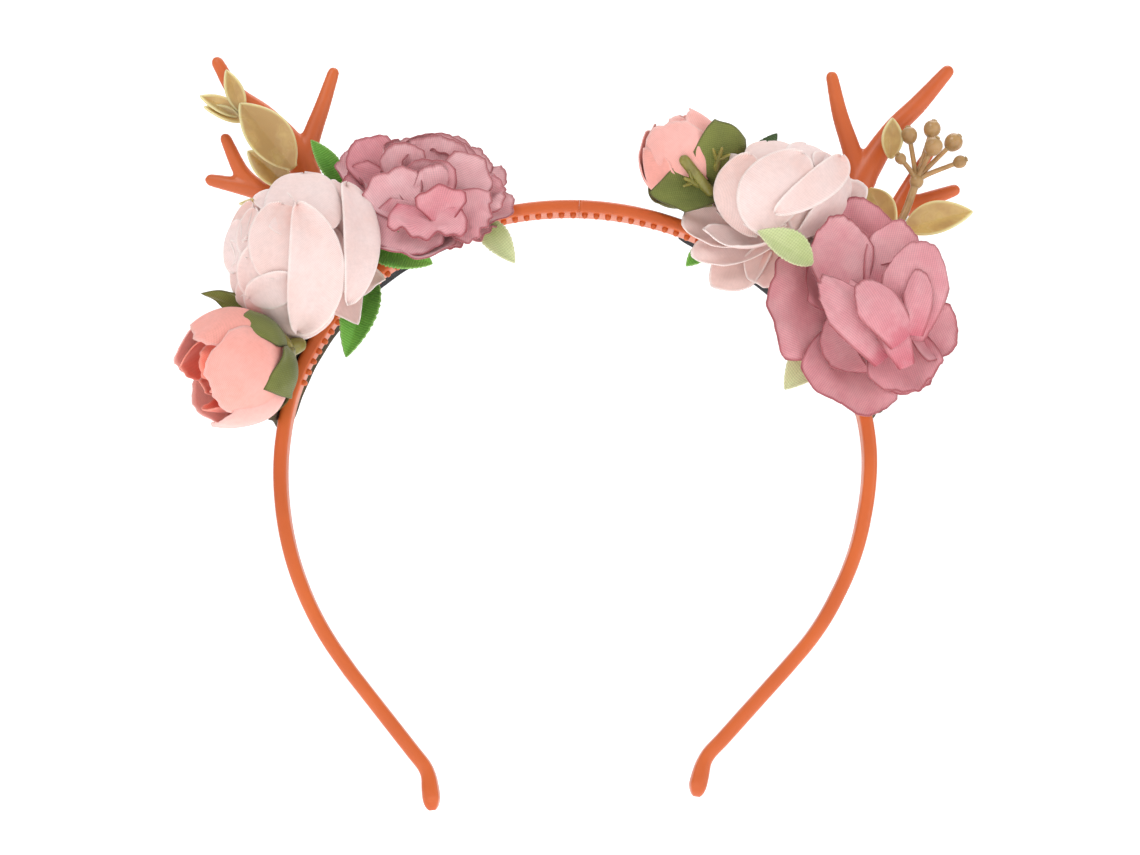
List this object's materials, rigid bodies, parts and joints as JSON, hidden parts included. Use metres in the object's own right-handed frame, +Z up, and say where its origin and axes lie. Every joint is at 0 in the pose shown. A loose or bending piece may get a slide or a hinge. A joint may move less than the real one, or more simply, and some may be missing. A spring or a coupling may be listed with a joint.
{
  "type": "flower headband",
  "caption": "Springy plastic headband with branching antlers, fabric roses, rosebuds, leaves and moulded sprigs on felt pads.",
  "frame": {"origin": "apex of the hoop's inner face, midway across its width, where it rests on the crown of the head", "axes": "+Z up out of the head, -Y to the front where the flowers face, +X to the side with the berry sprig"},
  "size_m": [0.1679, 0.0478, 0.1608],
  "materials": {
    "hoop_plastic": "satin moulded, burnt orange",
    "antler_plastic": "satin moulded, burnt orange",
    "felt": "dense dark felt",
    "mauve_fabric": "woven polyester with burgundy-tinted edges",
    "blush_fabric": "woven polyester, pale",
    "coral_fabric": "woven polyester, coral",
    "sepal_fabric": "woven polyester, olive",
    "green_leaf_fabric": "ribbed polyester, bright green",
    "pale_leaf_fabric": "woven polyester, pale sage",
    "dark_leaf_fabric": "woven polyester, dark green",
    "calyx_plastic": "translucent olive, moulded",
    "sprig_plastic": "translucent tan, moulded",
    "berry_plastic": "translucent brown, moulded"
  },
  "bodies": {
    "crown": {"band_crown": "hoop_plastic"},
    "left_side": {"antler_left": "antler_plastic", "band_left": "hoop_plastic", "bud_left_calyx": "calyx_plastic", "bud_left_heart": "coral_fabric", "bud_left_outer_petals": "coral_fabric", "bud_left_sepals": "sepal_fabric", "felt_left": "felt", "leaf_green_a": "green_leaf_fabric", "leaf_green_b": "green_leaf_fabric", "leaf_green_c": "green_leaf_fabric", "leaf_pale_d": "pale_leaf_fabric", "rose_blush_left_calyx": "calyx_plastic", "rose_blush_left_heart": "blush_fabric", "rose_blush_left_inner_petals": "blush_fabric", "rose_blush_left_middle_petals": "blush_fabric", "rose_blush_left_outer_petals": "blush_fabric", "rose_mauve_left_calyx": "calyx_plastic", "rose_mauve_left_heart": "mauve_fabric", "rose_mauve_left_inner_petals": "mauve_fabric", "rose_mauve_left_middle_petals": "mauve_fabric", "rose_mauve_left_outer_petals": "mauve_fabric", "sprig_left_lobe_a": "sprig_plastic", "sprig_left_lobe_b": "sprig_plastic", "sprig_left_lobe_c": "sprig_plastic", "sprig_left_low_leaf": "sprig_plastic", "sprig_left_oval_leaf": "sprig_plastic", "sprig_left_stem": "sprig_plastic", "sprig_left_thin_leaf": "sprig_plastic"},
    "right_side": {"antler_right": "antler_plastic", "band_right": "hoop_plastic", "berry_a": "berry_plastic", "berry_b": "berry_plastic", "berry_c": "berry_plastic", "berry_d": "berry_plastic", "berry_e": "berry_plastic", "berry_f": "berry_plastic", "bud_right_calyx": "calyx_plastic", "bud_right_heart": "coral_fabric", "bud_right_outer_petals": "coral_fabric", "bud_right_sepals": "sepal_fabric", "felt_right": "felt", "leaf_dark_g": "dark_leaf_fabric", "leaf_green_h": "green_leaf_fabric", "leaf_pale_e": "pale_leaf_fabric", "leaf_pale_f": "pale_leaf_fabric", "rose_blush_right_calyx": "calyx_plastic", "rose_blush_right_heart": "blush_fabric", "rose_blush_right_inner_petals": "blush_fabric", "rose_blush_right_middle_petals": "blush_fabric", "rose_blush_right_outer_petals": "blush_fabric", "rose_mauve_right_calyx": "calyx_plastic", "rose_mauve_right_heart": "mauve_fabric", "rose_mauve_right_inner_petals": "mauve_fabric", "rose_mauve_right_middle_petals": "mauve_fabric", "rose_mauve_right_outer_petals": "mauve_fabric", "sprig_right_leaf_in": "sprig_plastic", "sprig_right_leaf_out": "sprig_plastic", "sprig_right_oval_leaf": "sprig_plastic", "sprig_right_stem": "berry_plastic"}
  },
  "joints": [
    {"name": "left_flex", "type": "hinge", "parent": "crown", "child": "left_side", "pos_m": [-0.01247, 0, 0.00189], "axis": [0, 1, 0], "range_deg": [-4, 15], "stiffness_Nm_per_rad": 0.75},
    {"name": "right_flex", "type": "hinge", "parent": "crown", "child": "right_side", "pos_m": [0.01247, 0, 0.00189], "axis": [0, -1, 0], "range_deg": [-4, 15], "stiffness_Nm_per_rad": 0.75}
  ]
}
